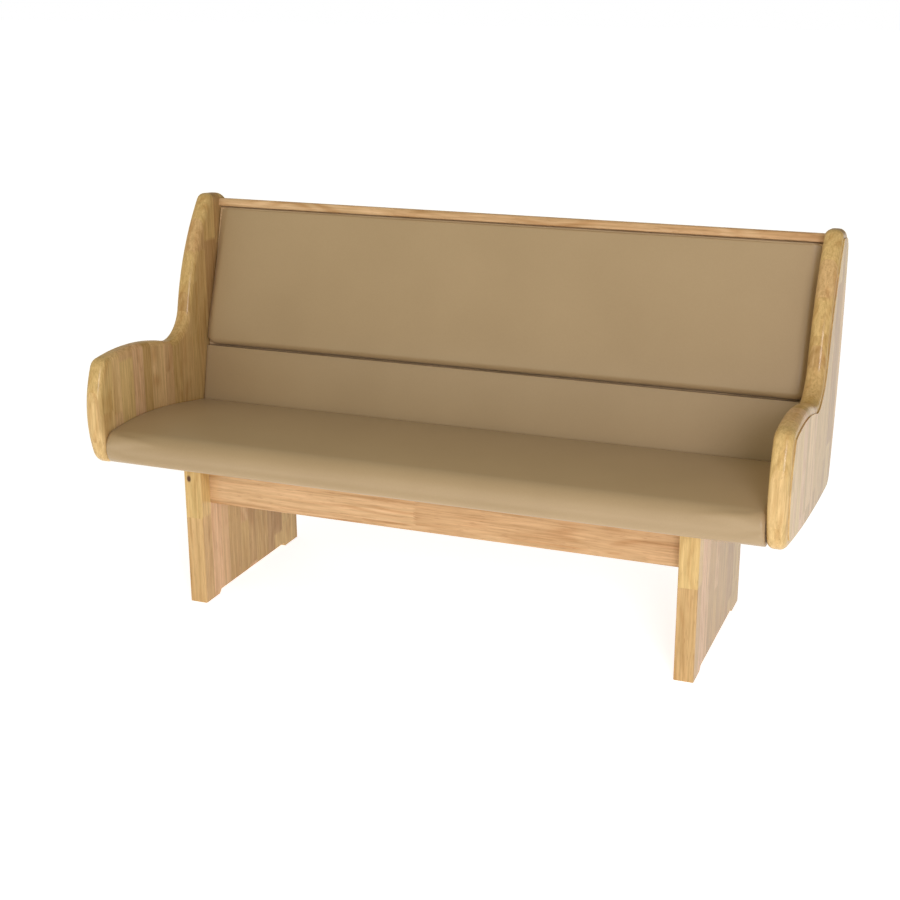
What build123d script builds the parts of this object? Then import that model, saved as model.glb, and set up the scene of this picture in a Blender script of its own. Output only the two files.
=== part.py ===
from build123d import *
import os
from math import cos, radians, sin, tan

# A three-seat church pew: two end panels with arms, an upholstered seat and back between them, and two board
# pedestals joined by rails. Millimetres, +X along the pew to the sitter's left, -Y is the front, +Z up.
# The origin is on the floor, at the middle of the pew's box.

# --- driving dimensions -------------------------------------------------------------------------------------
LENGTH = 1500.0             # over both end panels
DEPTH = 610.0               # from the nose of the arms to the rear edge of the end panels
TOP_Z = 849.0               # highest corner of the end panels, before it is rounded

BOARD_THICKNESS = 41.0      # end panels, over the raised field of their outer side, and pedestals
FIELD_HEIGHT = 2.5          # step that the raised field stands out of the outer side
FIELD_MARGIN = 18.0         # from the panel's outline to the step
INNER_ROUND = 14.0          # roundover of the inner side's edge
OUTER_ROUND = 16.0          # roundover of the outer side's edge

PEDESTAL_OUTER_X = 572.0
PEDESTAL_FRONT_Y = -203.0
PEDESTAL_REAR_Y = 243.0
FRONT_FOOT = 58.0           # length of the front foot along Y
REAR_FOOT = 67.0
NOTCH_HEIGHT = 9.0

RAIL_THICKNESS = 22.0       # apron and rear stretcher
RAIL_BOTTOM_Z = 225.0
APRON_FRONT_Y = -165.0
STRETCHER_FRONT_Y = 85.0

SEAT_TILT = 2.0             # degrees, falling towards the back
SEAT_FRONT_Y = -272.0       # front line of the seat's underside, where the seat frame starts
SEAT_UNDERSIDE_Z = 334.0    # height of the same line
SEAT_BOARD_FRONT = 10.0     # board's front edge, behind the seat's front line
SEAT_BOARD_REAR = 385.0
SEAT_BOARD_THICKNESS = 18.0
SEAT_DEPTH = 389.0          # from that line to the rear of the cushion
SEAT_OVERHANG = 31.5        # cushion in front of that line

BACK_RECLINE = 15.0         # degrees from upright
BACK_TOP = (254.0, 812.0)   # upper front edge of the back board, as (y, z)
BACK_BOARD_THICKNESS = 12.0
HOUSING_DEPTH = 10.0        # groove in each end panel that takes the back board
PAD_BOARD_THICKNESS = 6.0
TOP_RAIL_TONGUE = 15.0      # thickness of the top rail behind the back board
LOWER_RAIL_THICKNESS = 25.0
LOWER_RAIL_HEIGHT = 75.0

COVER = 1.2                 # vinyl with its backing
SEAT_FLANGE = 45.0          # cover turned under the seat board's front
BACK_FLANGE = 25.0          # cover turned behind the edges of a back pad's board
END_GAP = 1.5               # between a cushion and an end panel
CLEAT_WIDTH = 28.0
CLEAT_HEIGHT = 20.0
DOWEL_RADIUS = 4.0
DOWEL_LENGTH = 40.0
SCREW_RADIUS = 2.0
SCREW_HEAD_RADIUS = 4.0
SCREW_HEAD_HEIGHT = 2.2

# --- places worked out from them ----------------------------------------------------------------------------
END_OUTER_X = LENGTH / 2
END_INNER_X = END_OUTER_X - BOARD_THICKNESS
PEDESTAL_INNER_X = PEDESTAL_OUTER_X - BOARD_THICKNESS
CUSHION_HALF = END_INNER_X - END_GAP
FRONT_Y = -DEPTH / 2
REAR_Y = DEPTH / 2

# Seat frame: local x along the pew, y backwards along the seat board's underside, z up out of it.
tilt = radians(SEAT_TILT)
seat = Plane(origin=(0, SEAT_FRONT_Y, SEAT_UNDERSIDE_Z), x_dir=(1, 0, 0), z_dir=(0, sin(tilt), cos(tilt)))

# Back frame: local x along the pew, y up the back board's front face from the seat underside, z forwards out of it.
recline = radians(BACK_RECLINE)
BACK_HEIGHT = (BACK_TOP[1] - SEAT_UNDERSIDE_Z + tan(tilt) * (BACK_TOP[0] - SEAT_FRONT_Y)) / (
    cos(recline) + tan(tilt) * sin(recline)
)
BACK_FOOT = (BACK_TOP[0] - BACK_HEIGHT * sin(recline), BACK_TOP[1] - BACK_HEIGHT * cos(recline))
back = Plane(origin=(0, *BACK_FOOT), x_dir=(1, 0, 0), z_dir=(0, -cos(recline), sin(recline)))


# --- helpers --------------------------------------------------------------------------------------------------
def box(plane, x, y, z):
    """A box in a plane's own frame, each direction given as (low, high)."""
    size = [high - low for low, high in (x, y, z)]
    middle = [(low + high) / 2 for low, high in (x, y, z)]
    return plane * (Pos(*middle) * Box(*size))


def section(plane, x_low):
    """A plane for drawing an outline in a frame's local (y, z), seen along +X, at x_low."""
    return plane * Plane(origin=(x_low, 0, 0), x_dir=(0, 1, 0), z_dir=(1, 0, 0))


def prism(plane, face, x_low, x_high):
    """An outline drawn in a frame's local (y, z), as a solid from x_low to x_high."""
    return extrude(section(plane, x_low) * face, x_high - x_low)


def rounded(face, corners):
    """A flat outline with its corners rounded: a list of ((y, z), radius)."""
    for point, radius in corners:
        face = fillet(face.vertices().sort_by_distance((point[0], point[1], 0))[0], radius)
    return face


def outline(*edges):
    """A closed flat face from edges in order."""
    return make_face(Curve() + list(edges))


def inset(face, distance):
    """The outline this far inside a face, drawn again as plain lines and arcs."""
    edges = []
    for edge in offset(face, -distance).face().outer_wire().edges():
        start, middle, end = edge @ 0, edge @ 0.5, edge @ 1
        straight = (end - start).length > 0.99999 * edge.length
        edges.append(Line(start, end) if straight else ThreePointArc(start, middle, end))
    return outline(*edges)


def mirrored(solid):
    return mirror(solid, about=Plane.YZ)


def solid_group(solids):
    """Several separate solids in one node."""
    return Compound(children=list(solids))


def cut_all(piece, cutters):
    for cutter in cutters:
        piece = piece - cutter
    return piece


# --- end panels -----------------------------------------------------------------------------------------------
def end_outline():
    """Side outline: nose, arm, hollow, upright, top, rear edge and lower edge, as (y, z)."""
    nose_bottom = (-281, 332)
    arm_front = (-273, 559)
    hollow = (70, 512)
    top_front = (205, TOP_Z)
    top_rear = (297, TOP_Z - 8)
    rear_bottom = (256, 283)
    face = outline(
        ThreePointArc(nose_bottom, (FRONT_Y, 433), arm_front),
        ThreePointArc(arm_front, (-185, 566), hollow),
        ThreePointArc(hollow, (114, 700), top_front),
        Line(top_front, top_rear),
        ThreePointArc(top_rear, (REAR_Y, 700), rear_bottom),
        ThreePointArc(rear_bottom, (60, 290), nose_bottom),
    )
    return rounded(
        face,
        [(nose_bottom, 40), (arm_front, 26), (hollow, 75), (top_front, 22), (top_rear, 58), (rear_bottom, 44)],
    )


def end_panel():
    """The +X end: a board with both edges rounded over, and a raised field on its outer side."""
    face = end_outline()
    field_x = END_OUTER_X - FIELD_HEIGHT
    board = prism(Plane.XY, face, END_INNER_X, field_x)
    board = fillet(board.faces().sort_by(Axis.X)[0].edges(), INNER_ROUND)
    board = fillet(board.faces().sort_by(Axis.X)[-1].edges(), OUTER_ROUND)
    field = prism(Plane.XY, inset(face, FIELD_MARGIN), field_x - 1, END_OUTER_X)
    return board + field


# --- pedestals and their rails --------------------------------------------------------------------------------
def pedestal():
    """The +X pedestal: a plain board, its top cut to the seat's tilt, with a shallow notch under it."""
    top_above = TOP_Z / 2
    notch_front = PEDESTAL_FRONT_Y + FRONT_FOOT
    notch_rear = PEDESTAL_REAR_Y - REAR_FOOT
    face = make_face(
        Polyline(
            (PEDESTAL_FRONT_Y, 0),
            (notch_front, 0),
            (notch_front + NOTCH_HEIGHT, NOTCH_HEIGHT),
            (notch_rear - NOTCH_HEIGHT, NOTCH_HEIGHT),
            (notch_rear, 0),
            (PEDESTAL_REAR_Y, 0),
            (PEDESTAL_REAR_Y, top_above),
            (PEDESTAL_FRONT_Y, top_above),
            close=True,
        )
    )
    board = prism(Plane.XY, face, PEDESTAL_INNER_X, PEDESTAL_OUTER_X)
    upright_edges = board.edges().filter_by(Axis.Z).sort_by(Axis.Y)
    board = fillet(upright_edges[:2] + upright_edges[-2:], 3)
    return split(board, bisect_by=seat, keep=Keep.BOTTOM)


def cross_rail(front_y):
    """A rail on edge between the pedestals, its top cut to the seat's tilt."""
    board = box(
        Plane.XY,
        (-PEDESTAL_INNER_X, PEDESTAL_INNER_X),
        (front_y, front_y + RAIL_THICKNESS),
        (RAIL_BOTTOM_Z, SEAT_UNDERSIDE_Z + 20),
    )
    lower_edges = board.edges().filter_by(Axis.X).sort_by(Axis.Z)[:2]
    board = fillet(lower_edges, 3)
    return split(board, bisect_by=seat, keep=Keep.BOTTOM)


def cleat(inner_x, outer_x, y):
    """A batten against a panel's inner face, directly under the seat board."""
    return box(seat, (inner_x, outer_x), y, (-CLEAT_HEIGHT, 0))


# --- the back's wood ------------------------------------------------------------------------------------------
def back_board():
    """Plywood back, long enough to be housed in both end panels."""
    half = END_INNER_X + HOUSING_DEPTH
    board = box(back, (-half, half), (-20, BACK_HEIGHT), (-BACK_BOARD_THICKNESS, 0))
    return split(board, bisect_by=seat, keep=Keep.TOP)


def top_rail():
    """Rail with a lip over the back board's top edge and a tongue down its rear."""
    lip = 15.0
    ledge = BACK_HEIGHT + 0.5
    lip_top = ledge + 18.0
    rear = -BACK_BOARD_THICKNESS - TOP_RAIL_TONGUE
    rear_top = lip_top + 5.0
    tongue_bottom = ledge - 40.0
    face = make_face(
        Polyline(
            (ledge, lip),
            (lip_top, lip),
            (rear_top, rear),
            (tongue_bottom, rear),
            (tongue_bottom, -BACK_BOARD_THICKNESS),
            (ledge, -BACK_BOARD_THICKNESS),
            close=True,
        )
    )
    face = rounded(face, [((ledge, lip), 4), ((lip_top, lip), 6), ((rear_top, rear), 8)])
    return prism(back, face, -END_INNER_X, END_INNER_X)


def lower_back_rail():
    """Rail behind the back board's lower edge, standing on the pedestals' tops."""
    rear = -BACK_BOARD_THICKNESS - LOWER_RAIL_THICKNESS
    rail = box(
        back, (-END_INNER_X, END_INNER_X), (-20, LOWER_RAIL_HEIGHT), (rear, -BACK_BOARD_THICKNESS)
    )
    return split(rail, bisect_by=seat, keep=Keep.TOP)


# --- upholstery -----------------------------------------------------------------------------------------------
def padding(plane, face, board_y, board_z, open_half, open_y):
    """Base board, foam and cover of a cushion whose outer outline is face, in a frame's local (y, z).

    board_y and board_z are the base board's limits. The cover wraps the foam and the board's edges and turns
    under the board, which it leaves bare from -open_half to open_half and over open_y.
    """
    inner_half = CUSHION_HALF - COVER
    board = box(plane, (-inner_half, inner_half), board_y, board_z)
    inside = prism(plane, inset(face, COVER), -inner_half, inner_half)
    bare = box(plane, (-open_half, open_half), open_y, (board_z[0] - 2 * COVER, board_z[0]))
    cover = prism(plane, face, -CUSHION_HALF, CUSHION_HALF) - inside - bare
    return board, inside - board, cover


def seat_padding():
    """Crowned seat with a waterfall front, on a plywood board."""
    front = -SEAT_OVERHANG
    front_top = (front, 72.0)
    front_bottom = (front, -COVER)
    rear_top = (SEAT_DEPTH, 62.0)
    rear_bottom = (SEAT_DEPTH, -COVER)
    face = outline(
        Line(front_bottom, front_top),
        ThreePointArc(front_top, (135, 89), rear_top),
        Line(rear_top, rear_bottom),
        Line(rear_bottom, front_bottom),
    )
    face = rounded(face, [(front_top, 24), (front_bottom, 40), (rear_top, 8)])
    board_z = (0, SEAT_BOARD_THICKNESS)
    bare_y = (SEAT_FLANGE, SEAT_DEPTH + COVER)
    board_y = (SEAT_BOARD_FRONT, SEAT_BOARD_REAR)
    return padding(seat, face, board_y, board_z, CUSHION_HALF + COVER, bare_y)


def back_padding(bottom, top, front, rounds):
    """A pad on the back board: front is the three points of its front face, bottom first, as (y, z)."""
    low, _, high = front
    face = outline(
        Line((bottom, 0), low),
        ThreePointArc(*front),
        Line(high, (top, 0)),
        Line((top, 0), (bottom, 0)),
    )
    face = rounded(face, [(low, rounds[0]), (high, rounds[1])])
    board_y = (bottom + COVER, top - COVER)
    board_z = (COVER, COVER + PAD_BOARD_THICKNESS)
    bare_y = (bottom + BACK_FLANGE, top - BACK_FLANGE)
    return padding(back, face, board_y, board_z, CUSHION_HALF - BACK_FLANGE, bare_y)


# --- fasteners ------------------------------------------------------------------------------------------------
def dowel(plane, x, y, z):
    """A dowel along X, centred on the joint at x, in a frame's local coordinates."""
    return plane * (Pos(x, y, z) * Rot(0, 90, 0) * Cylinder(DOWEL_RADIUS, DOWEL_LENGTH))


def screw(plane, place, turn, length):
    """A countersunk screw whose head is flush at place, pointing along local +Z turned by turn."""
    bottom = (Align.CENTER, Align.CENTER, Align.MIN)
    shank = Cylinder(SCREW_RADIUS, length, align=bottom)
    head = Cone(SCREW_HEAD_RADIUS, SCREW_RADIUS, SCREW_HEAD_HEIGHT, align=bottom)
    return plane * (Pos(*place) * turn * (shank + head))


def rail_dowels():
    """Two dowels in each end of the four rails."""
    found = {"apron": [], "stretcher": [], "top": [], "lower": []}
    lower_z = -BACK_BOARD_THICKNESS - LOWER_RAIL_THICKNESS / 2
    tongue_z = -BACK_BOARD_THICKNESS - TOP_RAIL_TONGUE / 2
    for side in (-1, 1):
        for z in (RAIL_BOTTOM_Z + 25, RAIL_BOTTOM_Z + 70):
            for name, front_y in (("apron", APRON_FRONT_Y), ("stretcher", STRETCHER_FRONT_Y)):
                middle = front_y + RAIL_THICKNESS / 2
                found[name].append(dowel(Plane.XY, side * PEDESTAL_INNER_X, middle, z))
        for y, z in ((BACK_HEIGHT + 11, -8), (BACK_HEIGHT - 21, tongue_z)):
            found["top"].append(dowel(back, side * END_INNER_X, y, z))
        for y in (20, 55):
            found["lower"].append(dowel(back, side * END_INNER_X, y, lower_z))
    return found


def cleat_screws(side, inner_x, panel_y, board_y):
    """Screws through one cleat: sideways into the panel at panel_y, and up into the seat board at board_y."""
    sideways = [
        screw(seat, (side * inner_x, y, -CLEAT_HEIGHT / 2), Rot(0, side * 90, 0), 45.0) for y in panel_y
    ]
    middle_x = side * (inner_x + CLEAT_WIDTH / 2)
    upward = [screw(seat, (middle_x, y, -CLEAT_HEIGHT), Rot(0, 0, 0), CLEAT_HEIGHT + 12.0) for y in board_y]
    return sideways, upward


def back_board_screws():
    """A row of screws from the board's front into each of its two rails."""
    return [
        screw(back, (x, y, 0), Rot(180, 0, 0), 24.0)
        for y in (35.0, BACK_HEIGHT - 20)
        for x in (-600, -360, -120, 120, 360, 600)
    ]


def pad_screws():
    """Screws from behind the board into the pads' base boards."""
    return [
        screw(back, (x, y, -BACK_BOARD_THICKNESS), Rot(0, 0, 0), BACK_BOARD_THICKNESS + COVER + 5.0)
        for y in (100, 145, 225, 430)
        for x in (-600, -300, 0, 300, 600)
    ]


# --- assembly -------------------------------------------------------------------------------------------------
dowels = rail_dowels()
end_dowels = dowels["top"] + dowels["lower"]
pedestal_dowels = dowels["apron"] + dowels["stretcher"]

END_CLEAT_Y = (190.0, 365.0)
PEDESTAL_CLEAT_Y = (131.0, 355.0)
pedestal_cleat_inner = PEDESTAL_INNER_X - CLEAT_WIDTH
end_cleat_inner = END_INNER_X - CLEAT_WIDTH
nodes = {}
seat_screw_list = []
panel_screw_list = []

board = back_board()
back_screws = back_board_screws()
pad_screw_list = pad_screws()
seat_board, seat_foam, seat_cover = seat_padding()
upper_board, upper_foam, upper_cover = back_padding(
    181.5, 507.5, ((181.5, 25.0), (300.0, 32.0), (507.5, 16.0)), (14.0, 8.0)
)
lower_board, lower_foam, lower_cover = back_padding(
    32.0, 180.5, ((32.0, 13.0), (110.0, 18.0), (180.5, 22.5)), (3.0, 3.0)
)

for name, side in (("left", -1), ("right", 1)):
    end_side, end_up = cleat_screws(side, end_cleat_inner, (240.0, 325.0), (210.0, 282.0, 350.0))
    ped_side, ped_up = cleat_screws(side, pedestal_cleat_inner, (180.0, 306.0), (150.0, 243.0, 336.0))
    panel_screw_list += end_side + ped_side
    seat_screw_list += end_up + ped_up
    end = end_panel()
    leg = pedestal()
    end_batten = cleat(end_cleat_inner, END_INNER_X, END_CLEAT_Y)
    leg_batten = cleat(pedestal_cleat_inner, PEDESTAL_INNER_X, PEDESTAL_CLEAT_Y)
    if side < 0:
        end, leg, end_batten, leg_batten = (mirrored(s) for s in (end, leg, end_batten, leg_batten))
    nodes[f"{name}_end_panel"] = cut_all(end, [board] + end_dowels + end_side)
    nodes[f"{name}_pedestal"] = cut_all(leg, pedestal_dowels + ped_side)
    nodes[f"{name}_end_cleat"] = cut_all(end_batten, end_side + end_up)
    nodes[f"{name}_pedestal_cleat"] = cut_all(leg_batten, ped_side + ped_up)

nodes["front_apron_rail"] = cut_all(cross_rail(APRON_FRONT_Y), dowels["apron"])
nodes["rear_stretcher_rail"] = cut_all(cross_rail(STRETCHER_FRONT_Y), dowels["stretcher"])
nodes["top_rail"] = cut_all(top_rail(), dowels["top"] + back_screws)
nodes["lower_back_rail"] = cut_all(lower_back_rail(), dowels["lower"] + back_screws)
nodes["back_board"] = cut_all(board, back_screws + pad_screw_list)
nodes["seat_board"] = cut_all(seat_board, seat_screw_list)
nodes["seat_foam"] = seat_foam
nodes["seat_cover"] = seat_cover
nodes["upper_back_board"] = cut_all(upper_board, pad_screw_list)
nodes["upper_back_foam"] = upper_foam
nodes["upper_back_cover"] = upper_cover
nodes["lower_back_board"] = cut_all(lower_board, pad_screw_list)
nodes["lower_back_foam"] = lower_foam
nodes["lower_back_cover"] = lower_cover
nodes["dowels"] = solid_group(end_dowels + pedestal_dowels)
nodes["panel_screws"] = solid_group(panel_screw_list)
nodes["seat_screws"] = solid_group(seat_screw_list)
nodes["back_board_screws"] = solid_group(back_screws)
nodes["pad_screws"] = solid_group(pad_screw_list)

os.makedirs("parts", exist_ok=True)
for name, piece in nodes.items():
    piece.label = name
    export_step(piece, f"parts/{name}.step")
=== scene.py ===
import bpy
from math import ceil, cos, pi, radians, sin
from mathutils import Euler, Matrix, Vector


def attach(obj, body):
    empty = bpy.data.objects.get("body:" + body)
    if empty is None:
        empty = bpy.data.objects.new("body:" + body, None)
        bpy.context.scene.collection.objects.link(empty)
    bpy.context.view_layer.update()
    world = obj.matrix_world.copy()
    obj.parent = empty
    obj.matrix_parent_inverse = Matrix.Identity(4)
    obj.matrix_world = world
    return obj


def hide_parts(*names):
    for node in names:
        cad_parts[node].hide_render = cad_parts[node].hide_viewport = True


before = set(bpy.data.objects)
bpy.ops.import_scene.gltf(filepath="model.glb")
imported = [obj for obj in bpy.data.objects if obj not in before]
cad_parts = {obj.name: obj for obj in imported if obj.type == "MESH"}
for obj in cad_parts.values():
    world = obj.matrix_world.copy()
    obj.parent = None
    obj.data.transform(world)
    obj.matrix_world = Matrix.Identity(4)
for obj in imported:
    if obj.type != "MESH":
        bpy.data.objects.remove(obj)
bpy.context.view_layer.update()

# A church pew of pale lacquered rubberwood with a vinyl seat and back.
# Metres, +X along the pew, -Y front, +Z up.
MM = 0.001
SEAT_TILT = radians(2)      # the seat falls towards the back
BACK_RECLINE = radians(15)  # from upright
CELL = 8 * MM               # spacing of a pad's vertices before it is subdivided
SIM_FRAMES = 20
PRESSURE = 4.0              # of the air that swells a pad
ARC_STEPS = 7               # pieces of a rounded corner in a pad's outline
END_STEPS = 6               # pieces of the rounding at a pad's ends

CAMERA_PLACE = (1.1287, -2.9326, 1.3651)
CAMERA_DOWN = 17.739        # degrees below level
CAMERA_TURN = 21.486        # degrees to the left of straight at the pew
CAMERA_ROLL = -0.139
CAMERA_LENS = 61.0

FLOOR_HALF = 30.0
FLOOR_GLOW = 0.72
WALL = (0.49, 0.455, 0.355)     # colour of the studio round the pew, and overhead
CEILING = (0.57, 0.53, 0.40)
WALL_HEIGHT = 0.12          # sine of the elevation where the wall starts to turn into the ceiling
CEILING_HEIGHT = 0.9        # and of that where it has
DARK_SIDE = (0.8, 0.6, 0)   # the studio is darker this way, behind the pew to the right
DARKEST = 0.3

STRIP_WIDTH = 42 * MM       # of the end panels' and pedestals' edge-glued strips
STRIP_LENGTH = 0.34         # of the finger-jointed pieces in them
RAIL_STRIP_WIDTH = 110 * MM
RAIL_STRIP_LENGTH = 0.62
RING_SPACING = 5.5 * MM


# --- camera, floor and light ------------------------------------------------------------------------------
def make_camera():
    camera = bpy.data.objects.new("camera", bpy.data.cameras.new("camera"))
    bpy.context.scene.collection.objects.link(camera)
    bpy.context.scene.camera = camera
    camera.data.lens = CAMERA_LENS
    camera.data.sensor_width = 36.0
    aim = Euler((radians(90 - CAMERA_DOWN), 0, radians(CAMERA_TURN))).to_matrix().to_4x4()
    roll = Matrix.Rotation(radians(CAMERA_ROLL), 4, "Z")
    camera.matrix_world = Matrix.Translation(CAMERA_PLACE) @ aim @ roll


def make_floor():
    half = FLOOR_HALF
    mesh = bpy.data.meshes.new("floor")
    corners = [(-half, -half, 0), (half, -half, 0), (half, half, 0), (-half, half, 0)]
    mesh.from_pydata(corners, [], [(0, 1, 2, 3)])
    floor = bpy.data.objects.new("floor", mesh)
    bpy.context.scene.collection.objects.link(floor)
    shader = Shader("floor_paper")
    speckle = shader.noise(shader.position(), 40.0, 2.0)
    shader.set("Base Color", shader.ramp(speckle, [(0.3, (0.90, 0.90, 0.90)), (0.7, (0.92, 0.92, 0.92))]))
    shader.set("Roughness", 0.9)
    shader.set("Emission Color", (0.91, 0.93, 1.0, 1))
    shader.set("Emission Strength", FLOOR_GLOW)
    mesh.materials.append(shader.material)


def area_light(name, place, target, size, power, colour):
    light = bpy.data.lights.new(name, "AREA")
    light.shape = "RECTANGLE"
    light.size, light.size_y = size
    light.energy = power
    light.color = colour
    lamp = bpy.data.objects.new(name, light)
    lamp.location = place
    lamp.rotation_euler = (Vector(target) - Vector(place)).to_track_quat("-Z", "Y").to_euler()
    bpy.context.scene.collection.objects.link(lamp)


def make_world():
    """A studio that lights the pew in the wall's and ceiling's colours and looks plain white to the camera."""
    world = bpy.data.worlds.new("studio")
    world.use_nodes = True
    tree = world.node_tree
    background = tree.nodes["Background"].inputs["Color"]
    height = tree.nodes.new("ShaderNodeSeparateXYZ")
    ceiling = tree.nodes.new("ShaderNodeValToRGB")
    ceiling.color_ramp.elements[0].position = WALL_HEIGHT
    ceiling.color_ramp.elements[0].color = (*WALL, 1)
    ceiling.color_ramp.elements[1].position = CEILING_HEIGHT
    ceiling.color_ramp.elements[1].color = (*CEILING, 1)
    side = tree.nodes.new("ShaderNodeVectorMath")
    side.operation = "DOT_PRODUCT"
    side.inputs[1].default_value = DARK_SIDE
    dark_side = tree.nodes.new("ShaderNodeMapRange")
    for key, value in {"From Min": 0.1, "From Max": 0.9, "To Min": 1.0, "To Max": DARKEST}.items():
        dark_side.inputs[key].default_value = value
    shaded = tree.nodes.new("ShaderNodeVectorMath")
    shaded.operation = "SCALE"
    seen = tree.nodes.new("ShaderNodeMix")
    seen.data_type = "RGBA"
    seen.inputs[7].default_value = (1, 1, 1, 1)
    direction = tree.nodes.new("ShaderNodeTexCoord").outputs["Generated"]
    tree.links.new(direction, height.inputs[0])
    tree.links.new(direction, side.inputs[0])
    tree.links.new(side.outputs["Value"], dark_side.inputs["Value"])
    tree.links.new(height.outputs[2], ceiling.inputs[0])
    tree.links.new(ceiling.outputs[0], shaded.inputs[0])
    tree.links.new(dark_side.outputs[0], shaded.inputs["Scale"])
    tree.links.new(shaded.outputs[0], seen.inputs[6])
    tree.links.new(tree.nodes.new("ShaderNodeLightPath").outputs["Is Camera Ray"], seen.inputs[0])
    tree.links.new(seen.outputs[2], background)
    bpy.context.scene.world = world


def make_lights():
    area_light("key", (1.9, -3.2, 1.5), (0.35, 0, 0.5), (0.9, 1.3), 50, (0.97, 0.97, 1.15))
    area_light("fill", (-1.2, -3.9, 1.2), (-0.2, 0, 0.45), (1.6, 1.6), 12, (1.0, 0.95, 0.80))
    bpy.context.scene.view_settings.view_transform = "Standard"


# --- node helper ------------------------------------------------------------------------------------------
class Shader:
    """A material's node tree. Each method adds nodes and returns an output to plug in elsewhere."""

    def __init__(self, name):
        self.material = bpy.data.materials.new(name)
        self.material.use_nodes = True
        self.tree = self.material.node_tree
        self.surface = self.tree.nodes["Principled BSDF"]

    def node(self, kind, inputs=(), output=0, **settings):
        made = self.tree.nodes.new(kind)
        for key, value in settings.items():
            setattr(made, key, value)
        for key, value in dict(inputs).items():
            self.plug(made.inputs[key], value)
        return made.outputs[output]

    def plug(self, socket, value):
        if isinstance(value, bpy.types.NodeSocket):
            self.tree.links.new(value, socket)
        else:
            socket.default_value = value

    def set(self, name, value):
        self.plug(self.surface.inputs[name], value)

    def position(self):
        return self.node("ShaderNodeTexCoord", output="Object")

    def axes(self, vector):
        split = self.tree.nodes.new("ShaderNodeSeparateXYZ")
        self.plug(split.inputs[0], vector)
        return split.outputs[0], split.outputs[1], split.outputs[2]

    def vector(self, x, y, z):
        return self.node("ShaderNodeCombineXYZ", {0: x, 1: y, 2: z})

    def math(self, operation, first, second=0.0):
        return self.node("ShaderNodeMath", {0: first, 1: second}, operation=operation)

    def add(self, first, second):
        return self.math("ADD", first, second)

    def times(self, first, second):
        return self.math("MULTIPLY", first, second)

    def noise(self, vector, scale, detail=2.0, roughness=0.5):
        inputs = {"Vector": vector, "Scale": scale, "Detail": detail, "Roughness": roughness}
        return self.node("ShaderNodeTexNoise", inputs)

    def chance(self, vector):
        """A random number from 0 to 1 for each different vector."""
        return self.node("ShaderNodeTexWhiteNoise", {"Vector": vector}, noise_dimensions="3D")

    def step(self, value, low, high):
        """0 below low, 1 above high, smooth between."""
        inputs = {"Value": value, "From Min": low, "From Max": high}
        return self.node("ShaderNodeMapRange", inputs, interpolation_type="SMOOTHSTEP")

    def ramp(self, value, stops):
        made = self.tree.nodes.new("ShaderNodeValToRGB")
        elements = made.color_ramp.elements
        while len(elements) < len(stops):
            elements.new(0.5)
        for element, (place, colour) in zip(elements, stops):
            element.position = place
            element.color = (*colour, 1)
        self.plug(made.inputs[0], value)
        return made.outputs[0]

    def mix(self, factor, first, second, blend="MIX"):
        inputs = {"Factor": factor, 6: first, 7: second}
        return self.node("ShaderNodeMix", inputs, output=2, data_type="RGBA", blend_type=blend)

    def bump(self, height, distance, strength=1.0):
        inputs = {"Height": height, "Distance": distance, "Strength": strength}
        self.set("Normal", self.node("ShaderNodeBump", inputs))


# --- wood -------------------------------------------------------------------------------------------------
HONEY = [
    (0.0, (0.50, 0.32, 0.115)),
    (0.25, (0.67, 0.47, 0.195)),
    (0.5, (0.70, 0.45, 0.25)),
    (0.75, (0.56, 0.37, 0.14)),
    (1.0, (0.43, 0.25, 0.105)),
]
PINK_HONEY = [
    (0.0, (0.62, 0.39, 0.20)),
    (0.5, (0.70, 0.47, 0.255)),
    (1.0, (0.57, 0.35, 0.17)),
]
PALE = [
    (0.0, (0.55, 0.38, 0.20)),
    (1.0, (0.62, 0.44, 0.25)),
]
FIGURE = (0.66, 0.48, 0.28)      # multiplies the wood between its growth rings
PORE = (0.42, 0.27, 0.15)        # multiplies it in the fine dark vessel lines
KNOT = (0.10, 0.045, 0.02)


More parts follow.
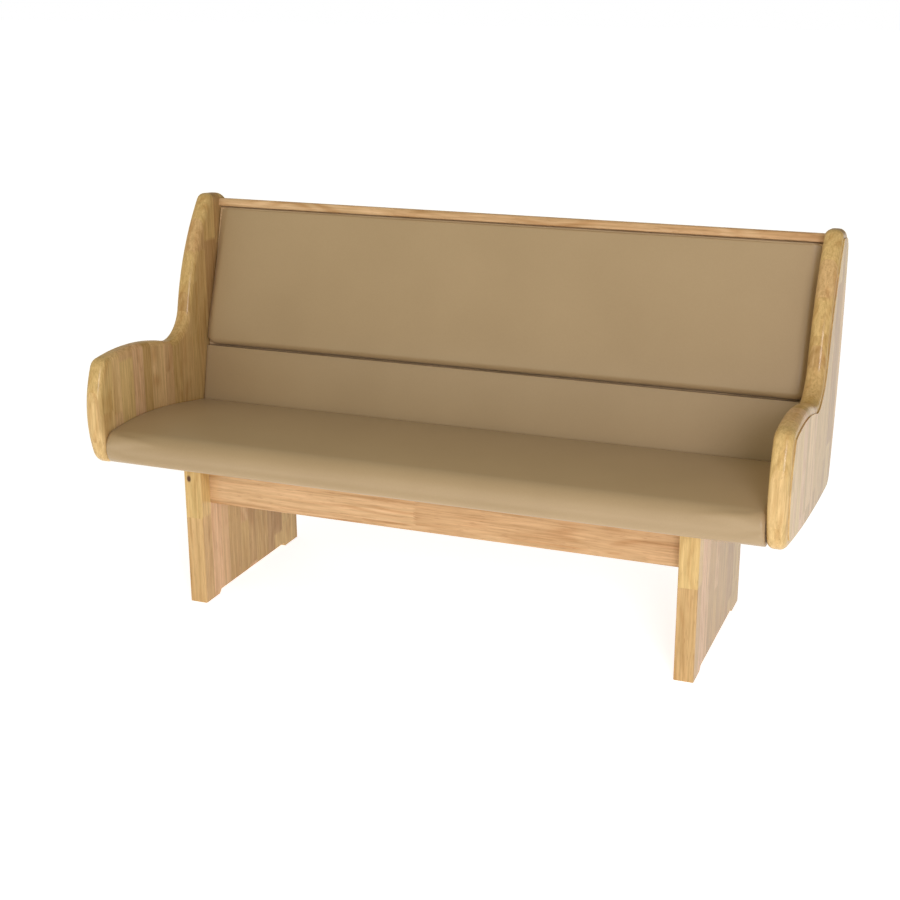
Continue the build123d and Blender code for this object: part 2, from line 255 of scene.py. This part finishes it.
def wood(name, tones, across, along, through, strip, length, ring_contrast, knots=()):
    """Lacquered edge-glued wood. across, along and through name the axes over the strips, down the grain and
    through the board; strip is the strips' width and length that of the finger-jointed pieces in them."""
    shader = Shader(name)
    place = dict(zip("XYZ", shader.axes(shader.position())))
    u, v, w = place[across], place[along], place[through]

    uneven = shader.times(shader.math("SINE", shader.times(u, 2.3 / strip)), 0.18 * strip)
    strip_number = shader.math("FLOOR", shader.times(shader.add(u, uneven), 1 / strip))
    shift = shader.chance(shader.vector(strip_number, 3.1, 7.7))
    finger = shader.times(shader.math("PINGPONG", u, 2.5 * MM), 3.2)
    down = shader.add(shader.times(shader.add(v, finger), 1 / length), shader.times(shift, 5.0))
    piece = shader.vector(strip_number, shader.math("FLOOR", down), 1.7)
    tone = shader.chance(piece)
    offset = shader.times(shader.chance(shader.vector(strip_number, shader.math("FLOOR", down), 9.3)), 4.0)

    own_u, own_w = shader.add(u, offset), shader.add(w, offset)
    wander = shader.noise(shader.vector(shader.times(own_u, 3.0), shader.times(v, 1.2), offset), 2.5, 1.5)
    heart = shader.add(shader.math("MODULO", own_u, 0.11), -0.055)
    depth = shader.add(shader.times(wander, 0.11), shader.times(w, 0.5))
    ring = shader.math("SQRT", shader.add(shader.times(heart, heart), shader.times(depth, depth)))
    rings = shader.math("PINGPONG", shader.times(ring, 1 / RING_SPACING), 1.0)
    streak = shader.noise(shader.vector(own_u, shader.times(v, 0.035), own_w), 210.0, 3.0, 0.6)
    broad = shader.noise(shader.vector(own_u, shader.times(v, 0.07), own_w), 45.0, 2.0)
    pore = shader.noise(shader.vector(own_u, shader.times(v, 0.045), own_w), 900.0, 1.0)
    pores = shader.step(pore, 0.60, 0.74)

    colour = shader.ramp(tone, tones)
    figure = shader.times(shader.step(rings, 0.1, 0.95), shader.step(broad, 0.35, 0.70))
    colour = shader.mix(shader.times(figure, ring_contrast), colour, (*FIGURE, 1), "MULTIPLY")
    light_streak = shader.ramp(streak, [(0.32, (0.76, 0.73, 0.64)), (0.68, (1.14, 1.15, 1.18))])
    colour = shader.mix(0.85, colour, light_streak, "MULTIPLY")
    colour = shader.mix(shader.times(pores, 0.38), colour, (*PORE, 1), "MULTIPLY")
    for spot, size in knots:
        colour = shader.mix(knot_mask(shader, spot, size, streak), colour, (*KNOT, 1))
    shader.set("Base Color", colour)
    shader.set("Roughness", shader.add(shader.times(streak, 0.10), 0.38))
    shader.set("Specular IOR Level", 0.05)
    shader.set("Coat Weight", 0.42)
    shader.set("Coat Roughness", 0.18)
    shader.bump(shader.add(shader.times(pores, -0.6), streak), 0.12 * MM, 0.5)
    return shader.material


def knot_mask(shader, spot, size, streak):
    """1 inside a small oval knot at spot, ragged at its edge."""
    offset = shader.node("ShaderNodeVectorMath", {0: shader.position(), 1: spot}, operation="SUBTRACT")
    flat = shader.node("ShaderNodeVectorMath", {0: offset, 1: (1 / size, 0.5 / size, 0.7 / size)},
                       operation="MULTIPLY")
    distance = shader.node("ShaderNodeVectorMath", {0: flat}, output="Value", operation="LENGTH")
    ragged = shader.add(distance, shader.times(streak, 0.6))
    return shader.math("SUBTRACT", 1.0, shader.step(ragged, 0.75, 1.45))


def bare_wood(name, tones, across, along, through, strip):
    """Unlacquered wood for battens, dowels and plywood faces."""
    material = wood(name, tones, across, along, through, strip, 3.0, 0.25)
    surface = material.node_tree.nodes["Principled BSDF"]
    surface.inputs["Coat Weight"].default_value = 0.0
    return material


# --- vinyl and metal --------------------------------------------------------------------------------------
def vinyl():
    """Smooth khaki-tan upholstery vinyl: a fine pebbled grain with a soft satin shine."""
    shader = Shader("khaki_vinyl")
    place = shader.position()
    cloudy = shader.noise(place, 5.0, 3.0)
    fine = shader.noise(place, 260.0, 2.0)
    tone = shader.add(shader.times(cloudy, 0.7), shader.times(fine, 0.3))
    tones = [(0.30, (0.385, 0.272, 0.142)), (0.70, (0.420, 0.300, 0.160))]
    shader.set("Base Color", shader.ramp(tone, tones))
    cells = shader.node("ShaderNodeTexVoronoi", {"Vector": place, "Scale": 1100.0}, feature="SMOOTH_F1")
    pebble = shader.add(cells, shader.times(shader.noise(place, 500.0, 2.0), 0.6))
    shader.bump(pebble, 0.05 * MM, 0.45)
    shader.set("Roughness", shader.add(shader.times(fine, 0.10), 0.36))
    shader.set("Sheen Weight", 0.05)
    return shader.material


def screw_steel():
    """Yellow zinc-plated screws, faintly turned."""
    shader = Shader("zinc_plate")
    place = shader.position()
    patch = shader.noise(place, 300.0, 2.0)
    shader.set("Base Color", shader.ramp(patch, [(0.3, (0.55, 0.47, 0.28)), (0.7, (0.66, 0.60, 0.42))]))
    shader.set("Metallic", 1.0)
    shader.set("Roughness", shader.add(shader.times(patch, 0.15), 0.25))
    shader.bump(shader.noise(place, 4000.0, 1.0), 0.02 * MM, 0.4)
    return shader.material


def paint(material, *nodes):
    for name in nodes:
        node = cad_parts[name]
        for slot in node.material_slots:
            slot.material = material


def make_materials():
    knots = [((-0.560, -0.203, 0.290), 6 * MM), ((-0.543, -0.203, 0.316), 5 * MM)]
    board = wood("rubberwood_panel", HONEY, "Y", "Z", "X", STRIP_WIDTH, STRIP_LENGTH, 0.45)
    left_leg = wood("rubberwood_knotty", HONEY, "Y", "Z", "X", STRIP_WIDTH, STRIP_LENGTH, 0.45, knots)
    rail = wood("rubberwood_rail", PINK_HONEY, "Z", "X", "Y", RAIL_STRIP_WIDTH, RAIL_STRIP_LENGTH, 0.55)
    paint(board, "left_end_panel", "right_end_panel", "right_pedestal")
    paint(left_leg, "left_pedestal")
    paint(rail, "front_apron_rail", "rear_stretcher_rail", "top_rail", "lower_back_rail")
    paint(bare_wood("plywood_upright", PALE, "Z", "X", "Y", 0.4), "back_board", "upper_back_board",
          "lower_back_board")
    paint(bare_wood("plywood_flat", PALE, "Y", "X", "Z", 0.4), "seat_board")
    paint(bare_wood("beech_batten", PALE, "X", "Y", "Z", 0.05), "left_end_cleat", "right_end_cleat",
          "left_pedestal_cleat", "right_pedestal_cleat")
    paint(bare_wood("beech_dowel", PALE, "Y", "X", "Z", 0.05), "dowels")
    paint(screw_steel(), "panel_screws", "seat_screws", "back_board_screws", "pad_screws")


# --- pads -------------------------------------------------------------------------------------------------
def pad_axes(y_axis, z_axis):
    """The rotation of a pad's own frame: x along the pew, y over its depth or height, z out of its board."""
    return Matrix(((1, 0, 0), y_axis, z_axis)).transposed()


SEAT_AXES = pad_axes((0, cos(SEAT_TILT), -sin(SEAT_TILT)), (0, sin(SEAT_TILT), cos(SEAT_TILT)))
BACK_AXES = pad_axes((0, sin(BACK_RECLINE), cos(BACK_RECLINE)),
                     (0, -cos(BACK_RECLINE), sin(BACK_RECLINE)))


def limits(node, axes):
    """Lowest and highest corner of a CAD node in a pad's own frame."""
    turned = [axes.transposed() @ vertex.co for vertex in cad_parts[node].data.vertices]
    return [Vector(pick(point[i] for point in turned) for i in range(3)) for pick in (min, max)]


def round_corner(before, corner, after, radius):
    """Points of an arc of that radius in a flat outline's corner, or the corner itself."""
    corner = Vector(corner)
    if radius == 0:
        return [corner]
    first, second = (Vector(before) - corner).normalized(), (Vector(after) - corner).normalized()
    half_angle = first.angle(second) / 2
    centre = corner + (first + second).normalized() * (radius / sin(half_angle))
    tangent = radius * cos(half_angle) / sin(half_angle)
    start = (corner + first * tangent - centre).normalized()
    end = (corner + second * tangent - centre).normalized()
    turns = [k / ARC_STEPS for k in range(ARC_STEPS + 1)]
    return [centre + start.slerp(end, turn).normalized() * radius for turn in turns]


def pad_profile(corners, crown, bias):
    """A closed outline in (y, z) from (y, z, radius) corners, evenly resampled, its upper side bowed by crown.
    The bow is highest in the middle for a bias of 1, and nearer to low y for a smaller one."""
    flat = [(y, z) for y, z, _ in corners]
    outline = []
    for k, (y, z, radius) in enumerate(corners):
        outline += round_corner(flat[k - 1], (y, z), flat[(k + 1) % len(flat)], radius)
    points = []
    for k, point in enumerate(outline):
        following = outline[(k + 1) % len(outline)]
        parts = max(1, ceil((following - point).length / CELL))
        points += [point.lerp(following, j / parts) for j in range(parts)]
    low, high = min(y for y, _ in flat), max(y for y, _ in flat)
    top = max(z for _, z in flat)
    for point in points:
        across = min(1.0, max(0.0, (point.x - low) / (high - low)))
        point.y += crown * sin(pi * across ** bias) * max(0.0, point.y) / top
    return points


def inward(points):
    """The outline's inward unit normals, for points in clockwise order seen with y to the right and z up."""
    found = []
    for k, point in enumerate(points):
        along = points[(k + 1) % len(points)] - points[k - 1]
        found.append(Vector((along.y, -along.x)).normalized())
    return found


def pad_mesh(name, profile, half, end_round, board_top):
    """The profile carried along x and rounded over at both ends; its underside stays flat on the board."""
    stations = []
    for k in range(END_STEPS):
        turn = k / END_STEPS * pi / 2
        stations.append((-half + end_round * (1 - cos(turn)), end_round * (1 - sin(turn))))
    straight = ceil(2 * (half - end_round) / CELL)
    for k in range(straight // 2 + 1):
        stations.append((-(half - end_round) * (1 - 2 * k / straight), 0.0))
    stations += [(-x, drop) for x, drop in reversed(stations) if x < -CELL / 4]
    normals = inward(profile)
    vertices, faces = [], []
    count = len(profile)
    for x, drop in stations:
        for point, normal in zip(profile, normals):
            held = min(1.0, max(0.0, point.y / board_top))
            moved = point + normal * (drop * held)
            vertices.append((x, moved.x, moved.y))
    for row in range(len(stations) - 1):
        for k in range(count):
            here, following = row * count + k, row * count + (k + 1) % count
            faces.append((here, following, following + count, here + count))
    last = (len(stations) - 1) * count
    for k in range(count // 2 - 1):
        cap = (k, k + 1, count - 2 - k, count - 1 - k)
        faces.append(tuple(reversed(cap)))
        faces.append(tuple(last + corner for corner in cap))
    if count % 2:
        cap = (count // 2 - 1, count // 2, count // 2 + 1)
        faces.append(tuple(reversed(cap)))
        faces.append(tuple(last + corner for corner in cap))
    mesh = bpy.data.meshes.new(name)
    mesh.from_pydata(vertices, [], faces)
    mesh.update()
    pad = bpy.data.objects.new(name, mesh)
    bpy.context.scene.collection.objects.link(pad)
    return pad


def swell(pad, half, board_top, most):
    """Blows the pad up as cloth under pressure, held at its board and ends. No point moves beyond most."""
    start = [vertex.co.copy() for vertex in pad.data.vertices]
    held = [k for k, co in enumerate(start) if co.z < board_top or abs(co.x) > half - 1 * MM]
    group = pad.vertex_groups.new(name="held")
    group.add(held, 1.0, "REPLACE")
    cloth = pad.modifiers.new("cloth", "CLOTH")
    settings = cloth.settings
    settings.quality = 5
    settings.mass = 0.4
    settings.tension_stiffness = 25
    settings.compression_stiffness = 25
    settings.shear_stiffness = 15
    settings.bending_stiffness = 2
    settings.use_pressure = True
    settings.uniform_pressure_force = PRESSURE
    settings.vertex_group_mass = "held"
    settings.effector_weights.gravity = 0
    cloth.collision_settings.use_collision = False
    cloth.point_cache.frame_end = SIM_FRAMES
    for number in range(1, SIM_FRAMES + 1):
        bpy.context.scene.frame_set(number)
    settled = bpy.data.meshes.new_from_object(pad.evaluated_get(bpy.context.evaluated_depsgraph_get()))
    pad.modifiers.clear()
    pad.vertex_groups.clear()
    for vertex, before, after in zip(pad.data.vertices, start, settled.vertices):
        travel = after.co - before
        vertex.co = before + travel * min(1.0, most / max(travel.length, 1e-9))
    bpy.data.meshes.remove(settled)
    bpy.context.scene.frame_set(1)


def finish_pad(pad, axes, material, *nodes):
    """Smooths the pad, turns it into the pew's frame and lets it stand for its CAD cover and foam."""
    smooth = pad.modifiers.new("smooth", "SUBSURF")
    smooth.levels = smooth.render_levels = 1
    solid = bpy.data.meshes.new_from_object(pad.evaluated_get(bpy.context.evaluated_depsgraph_get()))
    pad.modifiers.clear()
    pad.data = solid
    solid.transform(axes.to_4x4())
    for face in solid.polygons:
        face.use_smooth = True
    solid.materials.append(material)
    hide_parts(*nodes)
    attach(pad, "root")


def make_seat_pad(material):
    low, high = limits("seat_cover", SEAT_AXES)
    board_low, board_high = limits("seat_board", SEAT_AXES)
    most = 5 * MM
    front, rear, under = low.y + most, high.y - 1 * MM, board_low.z
    inside = under + 3 * MM
    flange = board_low.y + 35 * MM
    corners = [
        (front, low.z, 34 * MM),
        (front, under + 69 * MM, 32 * MM),
        (rear, under + 59 * MM, 8 * MM),
        (rear, under, 0),
        (board_high.y, under, 0),
        (board_high.y, inside, 0),
        (flange, inside, 0),
        (flange, low.z, 0),
    ]
    profile = pad_profile([(y, z - under, radius) for y, z, radius in corners], 20 * MM, 0.85)
    half = high.x
    pad = pad_mesh("seat_pad", profile, half, 9 * MM, board_high.z - under)
    swell(pad, half, 6 * MM, most)
    pad.data.transform(Matrix.Translation((0, 0, under)))
    finish_pad(pad, SEAT_AXES, material, "seat_cover", "seat_foam")


def make_back_pad(name, material, nodes, edge_heights, radii, crown, most, end_round):
    """A pad on the back board. edge_heights are its thickness at its lower and upper edge before it swells,
    and radii are those edges' rounding."""
    low, high = limits(nodes[0], BACK_AXES)
    edge = 0.3 * MM
    lower_y, upper_y = low.y + edge, high.y - edge
    corners = [
        (upper_y, 0, 1 * MM),
        (lower_y, 0, 1 * MM),
        (lower_y, edge_heights[0], radii[0]),
        (upper_y, edge_heights[1], radii[1]),
    ]
    profile = pad_profile(corners, crown, 0.5)
    pad = pad_mesh(name, profile, high.x, end_round, 8 * MM)
    swell(pad, high.x, 8.5 * MM, most)
    pad.data.transform(Matrix.Translation((0, 0, low.z)))
    finish_pad(pad, BACK_AXES, material, *nodes)


def make_pads():
    material = vinyl()
    make_seat_pad(material)
    make_back_pad("upper_back_pad", material, ("upper_back_cover", "upper_back_foam"),
                  edge_heights=(33 * MM, 14 * MM), radii=(13 * MM, 6 * MM),
                  crown=8 * MM, most=4 * MM, end_round=22 * MM)
    make_back_pad("lower_back_pad", material, ("lower_back_cover", "lower_back_foam"),
                  edge_heights=(12 * MM, 20 * MM), radii=(4 * MM, 2 * MM),
                  crown=0.0, most=1.5 * MM, end_round=5 * MM)


make_camera()
make_floor()
make_world()
make_lights()
make_materials()
make_pads()
